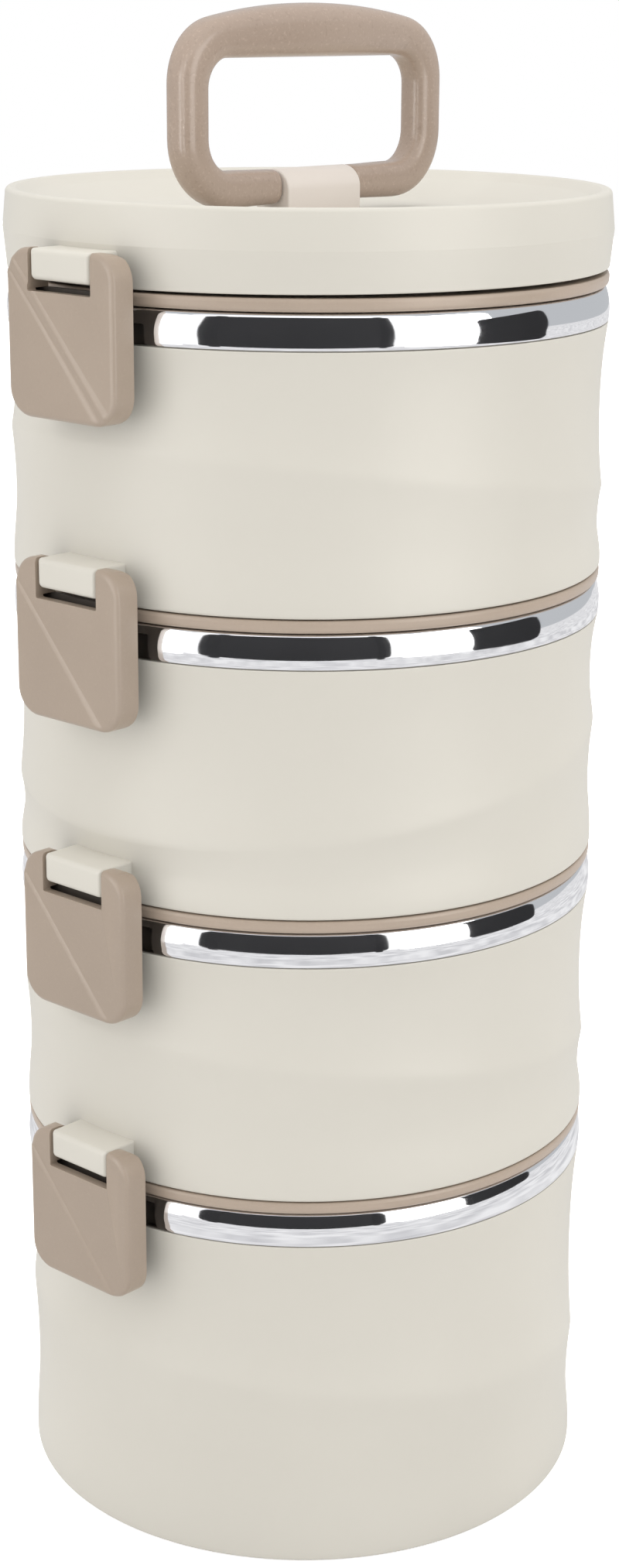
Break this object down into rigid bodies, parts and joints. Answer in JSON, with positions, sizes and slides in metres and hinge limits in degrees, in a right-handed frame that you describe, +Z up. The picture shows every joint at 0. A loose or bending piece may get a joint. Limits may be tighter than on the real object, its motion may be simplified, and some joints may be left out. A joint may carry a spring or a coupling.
{
  "type": "stacking tiffin carrier",
  "caption": "Round stacking lunch carrier: steel bowls in ivory shells, sealed inner lids, side clips at each joint, and a lid with a swivelling loop handle.",
  "frame": {"origin": "centre of the foot ring on the surface the carrier stands on", "axes": "+Z up along the stack, X through the clips and along the handle's bar, Y across it"},
  "size_m": [0.1562, 0.14, 0.356],
  "materials": {
    "ivory_plastic": "satin moulded polypropylene",
    "taupe_plastic": "fine textured moulded polypropylene",
    "polished_steel": "mirror polished stainless steel",
    "pin_steel": "bright drawn wire",
    "silicone": "matt silicone"
  },
  "bodies": {
    "tier_4": {"tier_4_shell": "ivory_plastic", "tier_4_bowl": "polished_steel", "foot_ring": "silicone"},
    "inner_lid_4": {"tier_4_inner_lid": "taupe_plastic", "tier_4_seal_ring": "silicone"},
    "vent_plug_4": {"tier_4_vent_plug": "silicone"},
    "tier_3": {"tier_3_shell": "ivory_plastic", "tier_3_bowl": "polished_steel"},
    "clip_4_left": {"tier_4_clip_left": "taupe_plastic", "tier_4_clip_pin_left": "pin_steel"},
    "clip_4_right": {"tier_4_clip_right": "taupe_plastic", "tier_4_clip_pin_right": "pin_steel"},
    "inner_lid_3": {"tier_3_inner_lid": "taupe_plastic", "tier_3_seal_ring": "silicone"},
    "vent_plug_3": {"tier_3_vent_plug": "silicone"},
    "tier_2": {"tier_2_shell": "ivory_plastic", "tier_2_bowl": "polished_steel"},
    "clip_3_left": {"tier_3_clip_left": "taupe_plastic", "tier_3_clip_pin_left": "pin_steel"},
    "clip_3_right": {"tier_3_clip_right": "taupe_plastic", "tier_3_clip_pin_right": "pin_steel"},
    "inner_lid_2": {"tier_2_inner_lid": "taupe_plastic", "tier_2_seal_ring": "silicone"},
    "vent_plug_2": {"tier_2_vent_plug": "silicone"},
    "tier_1": {"tier_1_shell": "ivory_plastic", "tier_1_bowl": "polished_steel"},
    "clip_2_left": {"tier_2_clip_left": "taupe_plastic", "tier_2_clip_pin_left": "pin_steel"},
    "clip_2_right": {"tier_2_clip_right": "taupe_plastic", "tier_2_clip_pin_right": "pin_steel"},
    "inner_lid_1": {"tier_1_inner_lid": "taupe_plastic", "tier_1_seal_ring": "silicone"},
    "vent_plug_1": {"tier_1_vent_plug": "silicone"},
    "lid": {"lid_shell": "ivory_plastic", "lid_inner_panel": "ivory_plastic", "handle_saddle": "ivory_plastic", "saddle_screw_left": "pin_steel", "saddle_screw_right": "pin_steel"},
    "clip_1_left": {"tier_1_clip_left": "taupe_plastic", "tier_1_clip_pin_left": "pin_steel"},
    "clip_1_right": {"tier_1_clip_right": "taupe_plastic", "tier_1_clip_pin_right": "pin_steel"},
    "handle": {"handle_loop": "taupe_plastic"}
  },
  "joints": [
    {"name": "inner_lid_4_lift", "type": "slide", "parent": "tier_4", "child": "inner_lid_4", "axis": [0, 0, 1], "range_m": [0, 0.03]},
    {"name": "vent_plug_4_pull", "type": "slide", "parent": "inner_lid_4", "child": "vent_plug_4", "axis": [0, 0, 1], "range_m": [0, 0.003]},
    {"name": "tier_3_lift", "type": "slide", "parent": "inner_lid_4", "child": "tier_3", "axis": [0, 0, 1], "range_m": [0, 0.08]},
    {"name": "clip_4_left_swing", "type": "hinge", "parent": "tier_3", "child": "clip_4_left", "pos_m": [-0.0745, 0, 0.0998], "axis": [0, 1, 0], "range_deg": [0, 100]},
    {"name": "clip_4_right_swing", "type": "hinge", "parent": "tier_3", "child": "clip_4_right", "pos_m": [0.0745, 0, 0.0998], "axis": [0, -1, 0], "range_deg": [0, 100]},
    {"name": "inner_lid_3_lift", "type": "slide", "parent": "tier_3", "child": "inner_lid_3", "axis": [0, 0, 1], "range_m": [0, 0.03]},
    {"name": "vent_plug_3_pull", "type": "slide", "parent": "inner_lid_3", "child": "vent_plug_3", "axis": [0, 0, 1], "range_m": [0, 0.003]},
    {"name": "tier_2_lift", "type": "slide", "parent": "inner_lid_3", "child": "tier_2", "axis": [0, 0, 1], "range_m": [0, 0.08]},
    {"name": "clip_3_left_swing", "type": "hinge", "parent": "tier_2", "child": "clip_3_left", "pos_m": [-0.0745, 0, 0.1678], "axis": [0, 1, 0], "range_deg": [0, 100]},
    {"name": "clip_3_right_swing", "type": "hinge", "parent": "tier_2", "child": "clip_3_right", "pos_m": [0.0745, 0, 0.1678], "axis": [0, -1, 0], "range_deg": [0, 100]},
    {"name": "inner_lid_2_lift", "type": "slide", "parent": "tier_2", "child": "inner_lid_2", "axis": [0, 0, 1], "range_m": [0, 0.03]},
    {"name": "vent_plug_2_pull", "type": "slide", "parent": "inner_lid_2", "child": "vent_plug_2", "axis": [0, 0, 1], "range_m": [0, 0.003]},
    {"name": "tier_1_lift", "type": "slide", "parent": "inner_lid_2", "child": "tier_1", "axis": [0, 0, 1], "range_m": [0, 0.08]},
    {"name": "clip_2_left_swing", "type": "hinge", "parent": "tier_1", "child": "clip_2_left", "pos_m": [-0.0745, 0, 0.2358], "axis": [0, 1, 0], "range_deg": [0, 100]},
    {"name": "clip_2_right_swing", "type": "hinge", "parent": "tier_1", "child": "clip_2_right", "pos_m": [0.0745, 0, 0.2358], "axis": [0, -1, 0], "range_deg": [0, 100]},
    {"name": "inner_lid_1_lift", "type": "slide", "parent": "tier_1", "child": "inner_lid_1", "axis": [0, 0, 1], "range_m": [0, 0.03]},
    {"name": "vent_plug_1_pull", "type": "slide", "parent": "inner_lid_1", "child": "vent_plug_1", "axis": [0, 0, 1], "range_m": [0, 0.003]},
    {"name": "lid_lift", "type": "slide", "parent": "inner_lid_1", "child": "lid", "axis": [0, 0, 1], "range_m": [0, 0.08]},
    {"name": "clip_1_left_swing", "type": "hinge", "parent": "lid", "child": "clip_1_left", "pos_m": [-0.0745, 0, 0.3025], "axis": [0, 1, 0], "range_deg": [0, 100]},
    {"name": "clip_1_right_swing", "type": "hinge", "parent": "lid", "child": "clip_1_right", "pos_m": [0.0745, 0, 0.3025], "axis": [0, -1, 0], "range_deg": [0, 100]},
    {"name": "handle_swing", "type": "hinge", "parent": "lid", "child": "handle", "pos_m": [0, 0, 0.3162], "axis": [1, 0, 0], "range_deg": [-90, 90]}
  ]
}
